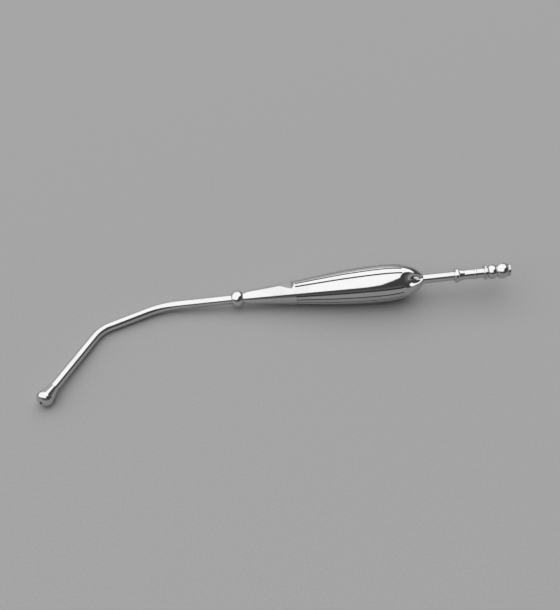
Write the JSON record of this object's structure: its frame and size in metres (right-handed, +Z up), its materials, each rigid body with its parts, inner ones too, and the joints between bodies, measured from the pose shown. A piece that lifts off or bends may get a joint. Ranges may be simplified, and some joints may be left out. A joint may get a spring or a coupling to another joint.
{
  "type": "yankauer suction tip",
  "caption": "Reusable metal Yankauer suction tip with a twice-bent tube, bulb tip with side vents, fluted teardrop grip and an olive-ended hose connector, lying as it rests on a table",
  "frame": {"origin": "the middle of the bounding box, on the table plane", "axes": "+X along the grip as seen from above, towards the hose end; +Y across it on the table, away from the side the tip points to; +Z up from the table"},
  "size_m": [0.2728, 0.0798, 0.0232],
  "materials": {
    "plated_tube": "polished",
    "plated_tip": "polished",
    "plated_bead": "polished",
    "plated_grip": "polished",
    "plated_connector": "polished"
  },
  "bodies": {
    "root": {"suction_tube": "plated_tube", "tip_bulb": "plated_tip", "front_bead": "plated_bead", "grip_shell_upper": "plated_grip", "grip_shell_lower": "plated_grip", "hose_connector": "plated_connector"}
  },
  "joints": []
}
